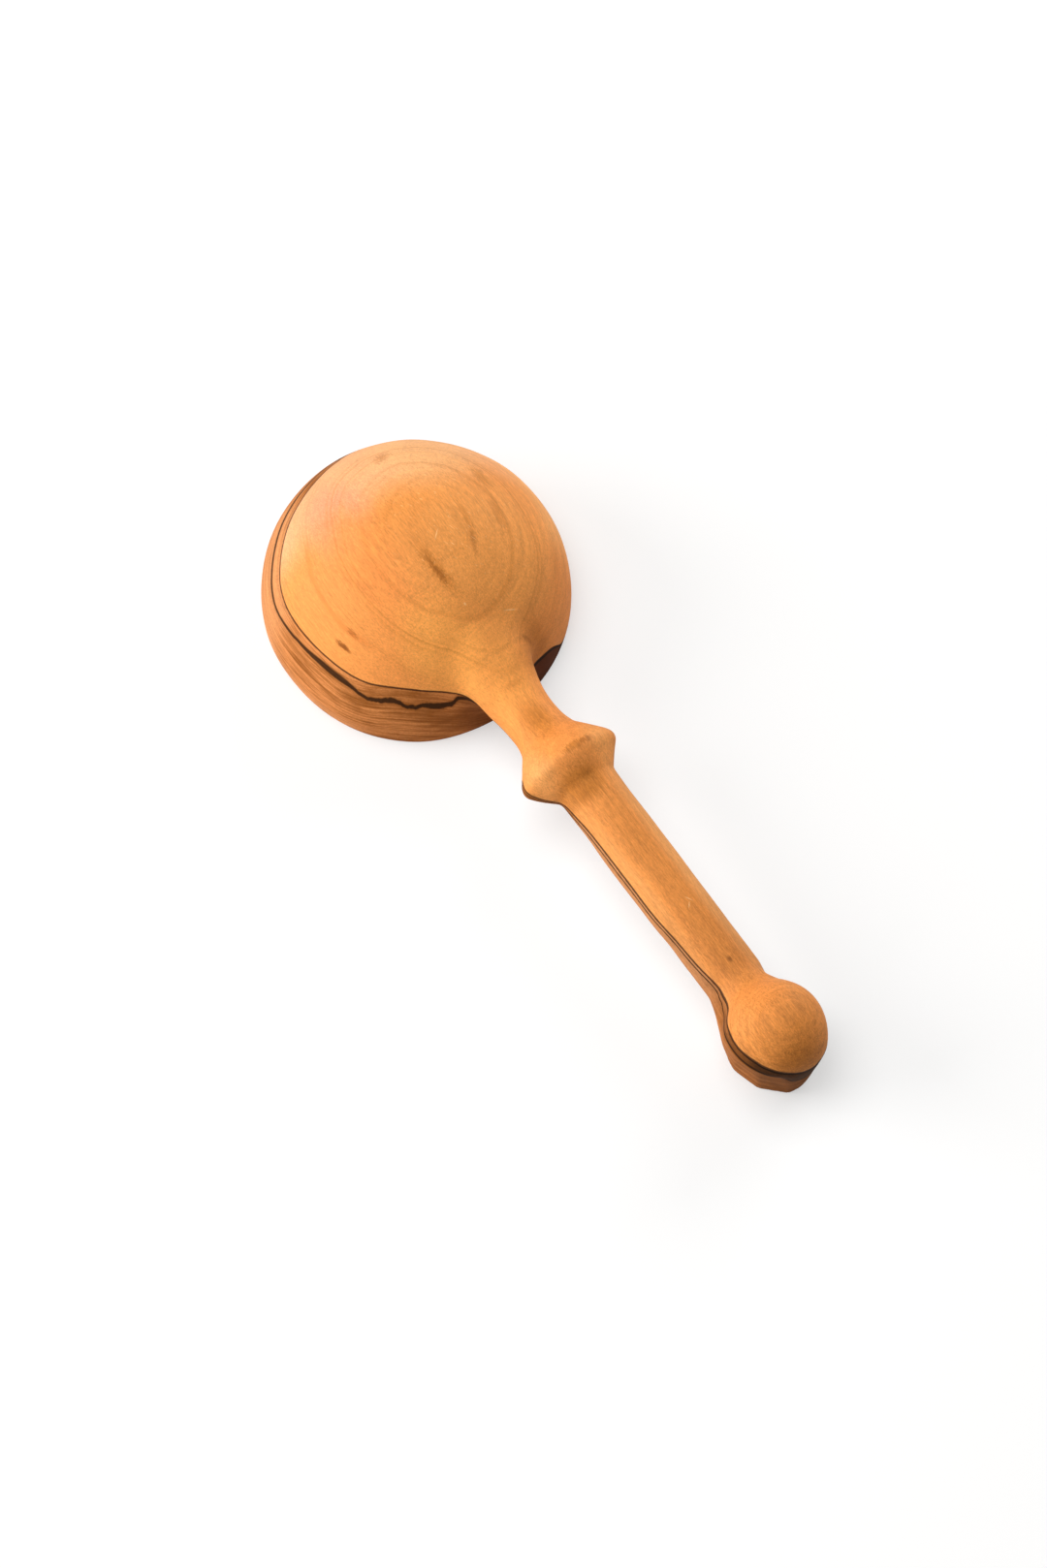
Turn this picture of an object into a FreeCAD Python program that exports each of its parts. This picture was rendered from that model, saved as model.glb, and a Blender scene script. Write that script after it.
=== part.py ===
"""Hand-carved wooden scoop, standing bowl-down: one piece of wood, so one solid in one body.

Millimetres. +X runs from the bowl to the knob and +Z is up. z = 0 is the plane on which the bowl's
rim and the knob's foot stand. The body is drawn from the centre of the bowl, and its placement puts
the origin midway along the scoop.
"""

import FreeCAD, Part
import math
import os
import Sketcher

# Driving dimensions: name, millimetres, what it measures. Heights count from the floor.
SIZES = [
    ("bowl_diameter", 60.0, "outside of the rim"),
    ("bowl_height", 31.5, "rim to the crown of the dome"),
    ("rim_width", 2.0, "flat ring that the bowl stands on"),
    ("crown_wall", 4.0, "wood between hollow and crown"),
    ("root_overlap", 14.0, "bowl's edge back to the start of the neck inside the dome"),
    ("root_cover", 1.2, "dome's surface down to the start of the neck"),
    ("root_width", 25.0, "width of the neck at its start"),
    ("root_thickness", 14.0, "top to bottom of the neck at its start"),
    ("flare_overlap", 3.0, "bowl's edge back to the place where the neck leaves the dome"),
    ("flare_width", 15.0, "width of the neck where it leaves the dome"),
    ("flare_top", 20.4, "height of the neck where it leaves the dome"),
    ("flare_thickness", 12.0, "top to bottom of the neck where it leaves the dome"),
    ("waist_reach", 9.0, "bowl's edge to the narrowest place of the neck"),
    ("waist_width", 10.7, "width of the neck at its narrowest"),
    ("waist_top", 16.9, "height of the neck at its narrowest"),
    ("waist_thickness", 9.4, "top to bottom of the neck at its narrowest"),
    ("collar_reach", 11.0, "narrowest place of the neck to the middle of the collar's ridge"),
    ("collar_width", 20.3, "width across the ridge"),
    ("collar_top", 20.8, "height of the ridge"),
    ("collar_thickness", 13.4, "top to bottom of the ridge"),
    ("collar_land", 2.0, "length of the ridge along the scoop"),
    ("front_slope", 5.4, "length of the collar's slope towards the bowl"),
    ("neck_width", 12.2, "width of the neck at the foot of the front slope"),
    ("neck_top", 17.8, "height of the neck at the foot of the front slope"),
    ("neck_thickness", 9.2, "top to bottom of the neck at the foot of the front slope"),
    ("back_slope", 4.6, "length of the collar's slope towards the grip"),
    ("shoulder_width", 11.7, "width of the grip at the foot of the back slope"),
    ("shoulder_top", 18.6, "height of the grip at the foot of the back slope"),
    ("grip_length", 46.0, "foot of the back slope to the wrist"),
    ("grip_width", 12.0, "width of the grip at its middle"),
    ("grip_top", 17.4, "height of the grip at its middle"),
    ("grip_thickness", 8.6, "top to bottom of the grip"),
    ("wrist_width", 11.0, "width of the grip where it is narrowest, next to the knob"),
    ("wrist_top", 15.6, "height of the grip where it is narrowest"),
    ("heel_length", 6.0, "wrist to the heel, where the grip has spread to the knob"),
    ("heel_width", 14.4, "width of the heel"),
    ("heel_top", 16.6, "height of the heel"),
    ("heel_thickness", 12.4, "top to bottom of the heel"),
    ("edge_radius", 2.4, "rounding of the sides of neck, collar, grip and heel"),
    ("knob_reach", 6.4, "heel to the middle of the knob"),
    ("knob_diameter", 18.8, "knob at its widest"),
    ("knob_height", 22.5, "foot to the top of the knob"),
    ("foot_diameter", 16.2, "flat under the knob"),
]

# Places along the scoop, from the bowl's centre, as expressions of the sheet's cells.
ROOT_X = "(Sizes.bowl_diameter / 2 - Sizes.root_overlap)"
FLARE_X = "(Sizes.bowl_diameter / 2 - Sizes.flare_overlap)"
WAIST_X = "(Sizes.bowl_diameter / 2 + Sizes.waist_reach)"
COLLAR_X = f"({WAIST_X} + Sizes.collar_reach)"
NECK_X = f"({COLLAR_X} - Sizes.collar_land / 2 - Sizes.front_slope)"
SHOULDER_X = f"({COLLAR_X} + Sizes.collar_land / 2 + Sizes.back_slope)"
GRIP_X = f"({SHOULDER_X} + Sizes.grip_length / 2)"
WRIST_X = f"({SHOULDER_X} + Sizes.grip_length)"
HEEL_X = f"({WRIST_X} + Sizes.heel_length)"
KNOB_X = f"({HEEL_X} + Sizes.knob_reach)"

# The dome is part of a ball whose centre lies on the bowl's axis.
BALL_Z = "((Sizes.bowl_height ^ 2 - Sizes.bowl_diameter ^ 2 / 4) / (2 * Sizes.bowl_height))"
BALL_RADIUS = f"(Sizes.bowl_height - {BALL_Z})"
ROOT_TOP = f"({BALL_Z} + sqrt({BALL_RADIUS} ^ 2 - {ROOT_X} ^ 2) - Sizes.root_cover)"

doc = FreeCAD.newDocument("WoodenScoop")
sheet = doc.addObject("Spreadsheet::Sheet", "Sizes")
for row, (alias, value, meaning) in enumerate(SIZES, start=1):
    sheet.set(f"A{row}", alias)
    sheet.set(f"B{row}", str(value))
    sheet.setAlias(f"B{row}", alias)
    sheet.set(f"C{row}", meaning)
doc.recompute()

scoop = doc.addObject("PartDesign::Body", "scoop")
scoop.Label = "scoop"


def size(expression):
    """What an expression of the sheet's cells comes to now."""
    return float(scoop.evalExpression(expression))


def new_sketch(name, plane_role):
    """Empty sketch on one of the body's own origin planes."""
    sketch = scoop.newObject("Sketcher::SketchObject", name)
    plane = next(part for part in scoop.Origin.OriginFeatures if part.Role == plane_role)
    sketch.AttachmentSupport = [(plane, "")]
    sketch.MapMode = "FlatFace"
    return sketch


def dimension(sketch, kind, places, expression):
    """One driving dimension, bound to the sheet."""
    index = sketch.addConstraint(Sketcher.Constraint(kind, *places, size(expression)))
    sketch.setExpression(f"Constraints[{index}]", expression)


def arc(x, y, radius, start, end):
    """Arc of a circle round (x, y), anticlockwise between two directions in radians."""
    circle = Part.Circle(FreeCAD.Vector(x, y, 0), FreeCAD.Vector(0, 0, 1), radius)
    return Part.ArcOfCircle(circle, start, end)


def line(start, end):
    return Part.LineSegment(FreeCAD.Vector(*start, 0), FreeCAD.Vector(*end, 0))


# How a sketch numbers the points of a curve and its own origin.
START, END, CENTRE = range(1, 4)
ORIGIN = (-1, START)


def upright_axis(kind, *places):
    """Constraint to the sketch's own vertical axis, which it numbers -2."""
    return Sketcher.Constraint(kind, *places, -2)


def dome_profile(name, radius, height):
    """Half outline of a round cap that stands on the floor: base, arc and axis."""
    sketch = new_sketch(name, "XZ_Plane")
    edge, crown = size(radius), size(height)
    ball_z = (crown ** 2 - edge ** 2) / (2 * crown)
    rim_angle = math.atan2(-ball_z, edge)
    sketch.addGeometry(line((0, 0), (edge, 0)))
    sketch.addGeometry(arc(0, ball_z, crown - ball_z, rim_angle, math.pi / 2))
    sketch.addGeometry(line((0, crown), (0, 0)))
    sketch.addConstraint([
        Sketcher.Constraint("Coincident", 0, END, 1, START),
        Sketcher.Constraint("Coincident", 1, END, 2, START),
        Sketcher.Constraint("Coincident", 2, END, 0, START),
        Sketcher.Constraint("Coincident", 0, START, *ORIGIN),
        Sketcher.Constraint("Horizontal", 0),
        Sketcher.Constraint("Vertical", 2),
        upright_axis("PointOnObject", 1, CENTRE),
    ])
    dimension(sketch, "DistanceX", (0, START, 0, END), radius)
    dimension(sketch, "DistanceY", (2, END, 2, START), height)
    return sketch


def oval(name, place, width, top, thickness):
    """Cross-section of the handle: flat arcs above and below, joined by small arcs at both sides."""
    sketch = new_sketch(name, "YZ_Plane")
    sketch.setExpression("AttachmentOffset.Base.z", place)
    side_radius = size("Sizes.edge_radius")
    side_y = size(width) / 2 - side_radius
    half = size(thickness) / 2
    middle = size(top) - half
    flat_radius = (side_y ** 2 + half ** 2 - side_radius ** 2) / (2 * (half - side_radius))
    rise = flat_radius - half
    join = math.atan2(rise, side_y)
    sketch.addGeometry(arc(0, middle - rise, flat_radius, join, math.pi - join))
    sketch.addGeometry(arc(-side_y, middle, side_radius, math.pi - join, math.pi + join))
    sketch.addGeometry(arc(0, middle + rise, flat_radius, math.pi + join, -join))
    sketch.addGeometry(arc(side_y, middle, side_radius, -join, join))
    above, left, below, right = range(4)
    sketch.addConstraint([
        Sketcher.Constraint("Tangent", above, END, left, START),
        Sketcher.Constraint("Tangent", left, END, below, START),
        Sketcher.Constraint("Tangent", below, END, right, START),
        Sketcher.Constraint("Tangent", right, END, above, START),
        upright_axis("PointOnObject", above, CENTRE),
        upright_axis("Symmetric", left, CENTRE, right, CENTRE),
        Sketcher.Constraint("Equal", above, below),
    ])
    dimension(sketch, "Radius", (right,), "Sizes.edge_radius")
    dimension(sketch, "DistanceX", (*ORIGIN, right, CENTRE), f"{width} / 2 - Sizes.edge_radius")
    dimension(sketch, "DistanceY", (*ORIGIN, right, CENTRE), f"{top} - {thickness} / 2")
    side = f"({width} / 2 - Sizes.edge_radius)"
    flat = f"({side} ^ 2 + {thickness} ^ 2 / 4 - Sizes.edge_radius ^ 2)"
    dimension(sketch, "Radius", (above,), f"{flat} / ({thickness} - 2 * Sizes.edge_radius)")
    return sketch


def knob_profile(name):
    """Half outline of the knob about its own upright axis: foot, sloping side, ball and axis."""
    sketch = new_sketch(name, "XZ_Plane")
    sketch.setExpression("AttachmentOffset.Base.x", KNOB_X)
    foot = size("Sizes.foot_diameter / 2")
    radius = size("Sizes.knob_diameter / 2")
    height = size("Sizes.knob_height")
    ball_z = height - radius
    join = math.acos(radius / math.hypot(foot, ball_z)) - math.atan2(ball_z, foot)
    side_end = (radius * math.cos(join), ball_z + radius * math.sin(join))
    sketch.addGeometry(line((0, 0), (foot, 0)))
    sketch.addGeometry(line((foot, 0), side_end))
    sketch.addGeometry(arc(0, ball_z, radius, join, math.pi / 2))
    sketch.addGeometry(line((0, height), (0, 0)))
    base, side, ball, axis = range(4)
    sketch.addConstraint([
        Sketcher.Constraint("Coincident", base, END, side, START),
        Sketcher.Constraint("Tangent", side, END, ball, START),
        Sketcher.Constraint("Coincident", ball, END, axis, START),
        Sketcher.Constraint("Coincident", axis, END, base, START),
        Sketcher.Constraint("Coincident", base, START, *ORIGIN),
        Sketcher.Constraint("Horizontal", base),
        Sketcher.Constraint("Vertical", axis),
        upright_axis("PointOnObject", ball, CENTRE),
    ])
    dimension(sketch, "DistanceX", (base, START, base, END), "Sizes.foot_diameter / 2")
    dimension(sketch, "Radius", (ball,), "Sizes.knob_diameter / 2")
    dimension(sketch, "DistanceY", (axis, END, axis, START), "Sizes.knob_height")
    return sketch


def turn(kind, name, sketch):
    """Full turn of a profile about the sketch's own vertical axis."""
    feature = scoop.newObject(kind, name)
    feature.Profile = sketch
    feature.ReferenceAxis = (sketch, ["V_Axis"])
    feature.Angle = 360
    doc.recompute()
    return feature


def loft(name, sections, ruled):
    """Loft through cross-sections, in order along the scoop."""
    feature = scoop.newObject("PartDesign::AdditiveLoft", name)
    feature.Profile = sections[0]
    feature.Sections = sections[1:]
    feature.Ruled = ruled
    doc.recompute()
    return feature


# The dome, still solid.
turn("PartDesign::Revolution", "Dome",
     dome_profile("DomeProfile", "Sizes.bowl_diameter / 2", "Sizes.bowl_height"))

# The neck leaves the dome and narrows to its waist.
root = oval("RootSection", ROOT_X, "Sizes.root_width", ROOT_TOP, "Sizes.root_thickness")
flare = oval("FlareSection", FLARE_X, "Sizes.flare_width", "Sizes.flare_top",
             "Sizes.flare_thickness")
waist = oval("WaistSection", WAIST_X, "Sizes.waist_width", "Sizes.waist_top",
             "Sizes.waist_thickness")
neck = oval("NeckSection", NECK_X, "Sizes.neck_width", "Sizes.neck_top", "Sizes.neck_thickness")
loft("Neck", [root, flare, waist, neck], ruled=False)

# The collar: a slope up to the narrow land of its ridge, and a slope down to the grip.
front = oval("RidgeFrontSection", f"{COLLAR_X} - Sizes.collar_land / 2", "Sizes.collar_width",
             "Sizes.collar_top", "Sizes.collar_thickness")
back = oval("RidgeBackSection", f"{COLLAR_X} + Sizes.collar_land / 2", "Sizes.collar_width",
            "Sizes.collar_top", "Sizes.collar_thickness")
shoulder = oval("ShoulderSection", SHOULDER_X, "Sizes.shoulder_width", "Sizes.shoulder_top",
                "Sizes.grip_thickness")
loft("Collar", [neck, front, back, shoulder], ruled=True)

# The grip swells a little at its middle and narrows to its wrist.
grip = oval("GripSection", GRIP_X, "Sizes.grip_width", "Sizes.grip_top", "Sizes.grip_thickness")
wrist = oval("WristSection", WRIST_X, "Sizes.wrist_width", "Sizes.wrist_top",
             "Sizes.grip_thickness")
loft("Grip", [shoulder, grip, wrist], ruled=False)

# The heel spreads from the wrist to the sides and the foot of the knob.
heel = oval("HeelSection", HEEL_X, "Sizes.heel_width", "Sizes.heel_top", "Sizes.heel_thickness")
core = oval("CoreSection", KNOB_X, "Sizes.heel_width", "Sizes.heel_top", "Sizes.heel_thickness")
loft("Heel", [wrist, heel, core], ruled=False)

turn("PartDesign::Revolution", "Knob", knob_profile("KnobProfile"))

# The hollow of the bowl, which also trims the start of the neck.
turn("PartDesign::Groove", "Hollow",
     dome_profile("HollowProfile", "Sizes.bowl_diameter / 2 - Sizes.rim_width",
                  "Sizes.bowl_height - Sizes.crown_wall"))

# Origin midway along the scoop, on the floor.
scoop.setExpression("Placement.Base.x",
                    f"(Sizes.bowl_diameter / 2 - {KNOB_X} - Sizes.knob_diameter / 2) / 2")
doc.recompute()

for item in doc.Objects:
    if "Invalid" in item.State or "Error" in item.State:
        raise RuntimeError(f"{item.Name} is not up to date: {item.State}")
shape = scoop.Shape
if shape.isNull() or not shape.isValid() or len(shape.Solids) != 1:
    raise RuntimeError("the scoop is not one valid solid")

os.makedirs("parts", exist_ok=True)
shape.exportStep(f"parts/{scoop.Label}.step")
box = shape.BoundBox
print(f"{scoop.Label}: {box.XLength:.1f} x {box.YLength:.1f} x {box.ZLength:.1f} mm,",
      f"{shape.Volume / 1000:.1f} cm3, foot at z = {box.ZMin:.3f}")
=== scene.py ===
"""A hand-carved wooden scoop, lying bowl down on a white floor."""

import math

import bmesh
import bpy
import numpy as np
from mathutils import Matrix, Vector


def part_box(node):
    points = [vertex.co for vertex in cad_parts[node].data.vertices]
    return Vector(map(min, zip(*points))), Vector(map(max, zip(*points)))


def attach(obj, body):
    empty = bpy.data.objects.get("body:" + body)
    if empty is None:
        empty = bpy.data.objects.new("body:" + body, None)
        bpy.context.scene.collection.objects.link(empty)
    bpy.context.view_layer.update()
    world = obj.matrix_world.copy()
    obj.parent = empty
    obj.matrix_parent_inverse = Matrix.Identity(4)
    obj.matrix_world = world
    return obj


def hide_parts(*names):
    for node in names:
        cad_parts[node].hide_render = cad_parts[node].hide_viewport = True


MM = 0.001
DEGREES = 180 / math.pi
# The size of the copied mesh's faces, and how close two of its points lie to be one.
VOXEL = 0.475 * MM
WELD = 0.001 * MM

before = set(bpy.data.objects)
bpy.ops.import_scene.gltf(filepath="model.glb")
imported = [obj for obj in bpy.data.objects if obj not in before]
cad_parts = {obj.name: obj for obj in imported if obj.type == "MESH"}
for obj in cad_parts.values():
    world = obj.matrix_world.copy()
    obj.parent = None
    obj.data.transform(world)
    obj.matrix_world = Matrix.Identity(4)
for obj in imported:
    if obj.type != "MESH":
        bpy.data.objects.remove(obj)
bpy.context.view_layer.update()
LOW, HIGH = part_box("scoop")
BOWL_RADIUS = (HIGH.y - LOW.y) / 2
BOWL = Vector((LOW.x + BOWL_RADIUS, 0.0, 0.0))

# Places along the handle in mm from the bowl's centre.
NECK_ENDS = (34, 42)
SHAFT_ENDS = (57, 101)
CREST_X = 50.1
KNOB_X = 114.0

# The knife-cut flats: the lean of each in degrees from straight up and its depth in mm.
SHAFT_FLATS = ((4, 0.28), (-50, 0.22), (56, 0.22), (142, 0.2), (-140, 0.2), (180, 0.25))
NECK_FLATS = ((2, 0.22), (-52, 0.15), (54, 0.15), (180, 0.2))
# Those round the knob's foot: the way each faces in degrees and its reach in mm from the knob's middle.
FOOT_FLATS = (
    (-115, 9.25), (-97, 8.35), (-74, 7.6), (-46, 7.75), (-14, 8.9), (22, 8.85),
    (62, 8.35), (101, 8.05), (138, 8.8),
)
# How far a foot flat leans outward for each mm of height, and the height in mm at which its reach
# is measured.
FOOT_LEAN = 0.10
FOOT_LEVEL = 4.0
# How soft in mm the edges of the flats are, and how finely in mm the handle is measured for them.
SHAFT_EDGE = 0.10
FOOT_EDGE = 0.12
STATION = 0.5
STATIONS_EVENED = 9

# In mm: the skin that smoothing takes off the handle, how far the knob's top stands towards -Y, and
# the bead along the collar's crest.
WORN_OFF = 0.13
KNOB_SHIFT = 0.3
BEAD_HEIGHT = 0.24
BEAD_WIDTH = 0.75
# Sides of the bowl that stand fuller or flatter: direction and spread in degrees, and height in mm.
BOWL_SIDES = (
    (-88, 18, -0.45), (-34, 16, 0.42), (-54, 10, 0.14), (-155, 24, 0.15), (132, 22, -0.35), (60, 20, 0.1),
)
# Places where the skin stands a little fuller or hollower, each with its size and height in mm.
FULLER = (
    ((KNOB_X - 5.5, -7.5, 7.0), 4.5, 1.0),
    ((KNOB_X + 8.3, -2.0, 3.0), 4.0, 0.55),
    ((KNOB_X + 7.8, 4.5, 12.0), 5.0, 0.35),
    ((99.5, 5.6, 12.6), 6.0, 0.42),
    ((76.0, -6.0, 13.0), 8.0, 0.05),
    ((56.5, 6.0, 15.0), 3.5, 0.3),
    ((53.0, -8.0, 13.7), 3.0, 0.25),
    ((33.0, -5.5, 12.4), 3.0, 0.3),
    ((63.0, -6.0, 13.0), 5.0, -0.26),
    ((89.0, -5.5, 12.5), 3.0, -0.18),
    ((41.0, -5.5, 13.0), 2.5, -0.2),
    ((37.0, 5.2, 13.0), 6.0, -0.12),
    ((55.4, 0.5, 17.6), 2.4, -0.38),
)

# The camera: lens and film in mm, tilt from straight down, turn, and distances in metres.
LENS = 85.0
FILM = 36.0
CAMERA_TILT = math.radians(21.28)
CAMERA_TURN = math.radians(54.11)
CAMERA_REACH = 0.7201
AIM_RIGHT = 0.0208
AIM_UP = -0.0364
FAR_CLIP = 20.0
# The lamps: turn and rise in degrees, and power in watts. Each is a disk of the same size.
LAMPS = (
    ("window", 178, 20, 12.5),
    ("near_panel", 222, 20, 3.0),
    ("far_panel", 57, 20, 7.6),
    ("ceiling", 150, 72, 9.0),
)
LAMP_REACH = 1.2
LAMP_SIZE = 0.9
# The light from all round, and the white that the camera sees instead of it.
ROOM = (0.22, 0.212, 0.196, 1)
WHITE = (1, 1, 1, 1)
# The floor's colour for the light on the scoop, then its colour and glow for the camera.
FLOOR_COLOUR = (0.8, 0.775, 0.73, 1)
FLOOR_SEEN = (0.45, 0.45, 0.45, 1)
FLOOR_GLOW = 0.50
# Half the floor's side, and how far below the scoop it lies, in metres.
FLOOR_HALF = 4.0
FLOOR_DROP = 0.00005


def linked(name, data):
    """A new object holding data, in the scene."""
    made = bpy.data.objects.new(name, data)
    bpy.context.scene.collection.objects.link(made)
    return made


# ---------------------------------------------------------------- shape


def deep_copy(node):
    """A copy of a CAD node's mesh whose flat underside is pushed below the floor."""
    work = bmesh.new()
    work.from_mesh(node.data)
    bmesh.ops.remove_doubles(work, verts=work.verts, dist=WELD)
    bottom = [f for f in work.faces if max(v.co.z for v in f.verts) < WELD]
    grown = bmesh.ops.extrude_face_region(work, geom=bottom)["geom"]
    moved = [v for v in grown if isinstance(v, bmesh.types.BMVert)]
    bmesh.ops.translate(work, verts=moved, vec=(0, 0, -4 * VOXEL))
    bmesh.ops.delete(work, geom=bottom, context="FACES_ONLY")
    mesh = bpy.data.meshes.new("scoop_wood")
    work.to_mesh(mesh)
    work.free()
    return linked("scoop_wood", mesh)


def fine_copy(node):
    """A copy of a CAD node remade as small even faces, and cut flat at the floor."""
    copy = deep_copy(node)
    skin = copy.modifiers.new("Skin", "REMESH")
    skin.mode = "VOXEL"
    skin.voxel_size = VOXEL
    ready = copy.evaluated_get(bpy.context.evaluated_depsgraph_get())
    mesh = bpy.data.meshes.new_from_object(ready)
    copy.modifiers.clear()
    work = bmesh.new()
    work.from_mesh(mesh)
    everything = work.verts[:] + work.edges[:] + work.faces[:]
    bmesh.ops.bisect_plane(
        work,
        geom=everything,
        dist=WELD,
        plane_co=(0, 0, 0),
        plane_no=(0, 0, 1),
        clear_inner=True,
    )
    bmesh.ops.remove_doubles(work, verts=work.verts, dist=0.1 * VOXEL)
    cut = [e for e in work.edges if e.is_boundary]
    bmesh.ops.triangle_fill(work, edges=cut, use_beauty=True, normal=(0, 0, -1))
    bmesh.ops.triangulate(work, faces=[f for f in work.faces if len(f.verts) > 4])
    bmesh.ops.recalc_face_normals(work, faces=work.faces)
    work.to_mesh(mesh)
    work.free()
    copy.data = mesh
    return copy


class Carving:
    """A mesh's points as an array in mm from the bowl's centre, with the moves that carve it."""

    def __init__(self, mesh):
        self.mesh = mesh
        self.points = np.zeros(len(mesh.vertices) * 3)
        mesh.vertices.foreach_get("co", self.points)
        self.points = (self.points.reshape(-1, 3) - np.array(BOWL)) / MM
        self.edges = np.zeros(len(mesh.edges) * 2, int)
        mesh.edges.foreach_get("vertices", self.edges)
        self.edges = self.edges.reshape(-1, 2)
        count = len(self.points)
        self.degree = np.bincount(self.edges.ravel(), minlength=count)[:, None]
        mesh.calc_loop_triangles()
        self.faces = np.zeros(len(mesh.loop_triangles) * 3, int)
        mesh.loop_triangles.foreach_get("vertices", self.faces)
        self.faces = self.faces.reshape(-1, 3)
        self.rim = self.points[:, 2] < 2 * WELD / MM

    def spread(self, values):
        """The mean of values over each point's neighbours."""
        a, b = self.edges[:, 0], self.edges[:, 1]
        total = np.empty_like(values)
        for k in range(values.shape[1]):
            one = np.bincount(a, values[b, k], len(values))
            two = np.bincount(b, values[a, k], len(values))
            total[:, k] = one + two
        return total / self.degree

    def normals(self):
        """The outward direction at each point."""
        p = self.points
        f = self.faces
        across = np.cross(p[f[:, 1]] - p[f[:, 0]], p[f[:, 2]] - p[f[:, 0]])
        out = np.zeros_like(p)
        for k in range(3):
            for shade_under_neck in range(3):
                out[:, k] += np.bincount(f[:, shade_under_neck], across[:, k], len(p))
        return out / np.maximum(np.linalg.norm(out, axis=1), 1e-12)[:, None]

    def relax(self, rounds, share):
        """Smooths the points where share is above 0."""
        for _ in range(rounds):
            self.points += 0.5 * share[:, None] * (self.spread(self.points) - self.points)

    def fill(self, rounds, share):
        """Fills hollow corners where share is above 0."""
        for step in range(rounds):
            if step % 8 == 0:
                out = self.normals()
            lean = self.spread(self.points) - self.points
            along = np.sum(lean * out, axis=1)
            move = np.maximum(along, 0.0) * share * 0.5
            self.points += out * move[:, None]

    def shave(self, past, facing, soft, share):
        """Cuts what stands past a face back to it along facing, with an edge soft mm wide."""
        cut = soft * np.logaddexp(0.0, past / soft)
        self.points -= facing * (cut * share)[:, None]

    def skin_reach(self, out, on):
        """How far the skin reaches at each point's place along the handle, evened along it."""
        x = self.points[:, 0]
        station = np.round(x / STATION).astype(int)
        first = station[on].min()
        widest = np.full(station[on].max() - first + 1, out[on].min())
        np.maximum.at(widest, station[on] - first, out[on])
        padded = np.pad(widest, STATIONS_EVENED // 2, mode="edge")
        even = np.convolve(padded, np.ones(STATIONS_EVENED) / STATIONS_EVENED, mode="valid")
        return np.interp(x, (np.arange(len(even)) + first) * STATION, even)

    def flat_along(self, lean, depth, start, end):
        """A knife-cut flat along the handle, leaning lean degrees from straight up and depth mm deep."""
        x = self.points[:, 0]
        facing = np.array([0.0, math.sin(math.radians(lean)), math.cos(math.radians(lean))])
        out = self.points @ facing
        on = (x > start - 2) & (x < end + 2)
        past = out - self.skin_reach(out, on) + depth
        self.shave(past, facing, SHAFT_EDGE, on * between(x, start, end, 3.0))

    def flat_round_foot(self, turn, extent):
        """A knife-cut flat on the knob's side, facing turn degrees and extent mm from its middle."""
        facing = np.array([math.cos(math.radians(turn)), math.sin(math.radians(turn)), 0.0])
        x, y, z = self.points.T
        out = (x - KNOB_X) * facing[0] + y * facing[1]
        lean = FOOT_LEAN * (z - FOOT_LEVEL)
        near = step_up(x, KNOB_X - 13, KNOB_X - 9) * (1 - step_up(z, 12, 16))
        self.shave(out - extent - lean, facing, FOOT_EDGE, near)

    def grow(self, height):
        """Raises the skin by a height in mm at each point."""
        self.points += self.normals() * height[:, None]

    def swell(self, at, size, height):
        """Raises the skin by height mm round a place, over size mm."""
        gap = (self.points - np.array(at, float)) / size
        self.grow(height * np.exp(-np.sum(gap * gap, axis=1)))

    def done(self):
        """Writes the points back, with the rim flat on the floor."""
        self.points[:, 2] = np.maximum(self.points[:, 2], 0.0)
        self.points[self.rim, 2] = 0.0
        out = self.points * MM + np.array(BOWL)
        self.mesh.vertices.foreach_set("co", out.ravel())
        self.mesh.update()


def step_up(x, low, high):
    """0 below low, 1 above high, and smooth between."""
    t = np.clip((x - low) / (high - low), 0.0, 1.0)
    return t * t * (3 - 2 * t)


def between(x, a, b, soft):
    """1 from a to b, falling to 0 over soft on each side."""
    return step_up(x, a - soft, a) * (1 - step_up(x, b, b + soft))


def uneven_bowl(wood):
    """The small hand-made unevenness of the bowl: some sides a little fuller, some flatter."""
    x, y, z = wood.points.T
    turn = np.degrees(np.arctan2(y, x))
    grow = np.zeros_like(x)
    for middle, width, height in BOWL_SIDES:
        gap = (turn - middle + 180) % 360 - 180
        grow += height * np.exp(-((gap / width) ** 2))
    far = np.maximum(np.hypot(x, y), 1.0)
    share = step_up(far, 10, 26) * (1 - step_up(x, 30, 34)) * grow / far
    wood.points[:, 0] += x * share
    wood.points[:, 1] += y * share
    wave = np.sin(0.23 * x + 0.11 * y + 0.4) * np.sin(0.19 * y - 0.07 * x + 1.1)
    wave += 0.6 * np.sin(0.41 * y + 0.15 * x + 2.0) * np.sin(0.33 * x - 0.2)
    wood.points += wood.normals() * (0.07 * wave * step_up(z, 1, 5))[:, None]


def crest_bead(wood):
    """A small raised bead along the collar's crest, nicked by the knife."""
    x, y, z = wood.points.T
    nicks = 0.07 * np.sin(6.1 * y + 0.9 * np.sin(1.7 * y)) * between(y, -7.0, 3.5, 1.5)
    across = (x - CREST_X - 0.12 * np.sin(0.9 * y)) / BEAD_WIDTH
    wood.grow((BEAD_HEIGHT + nicks) * np.exp(-across * across) * step_up(z, 8, 12))


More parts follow.
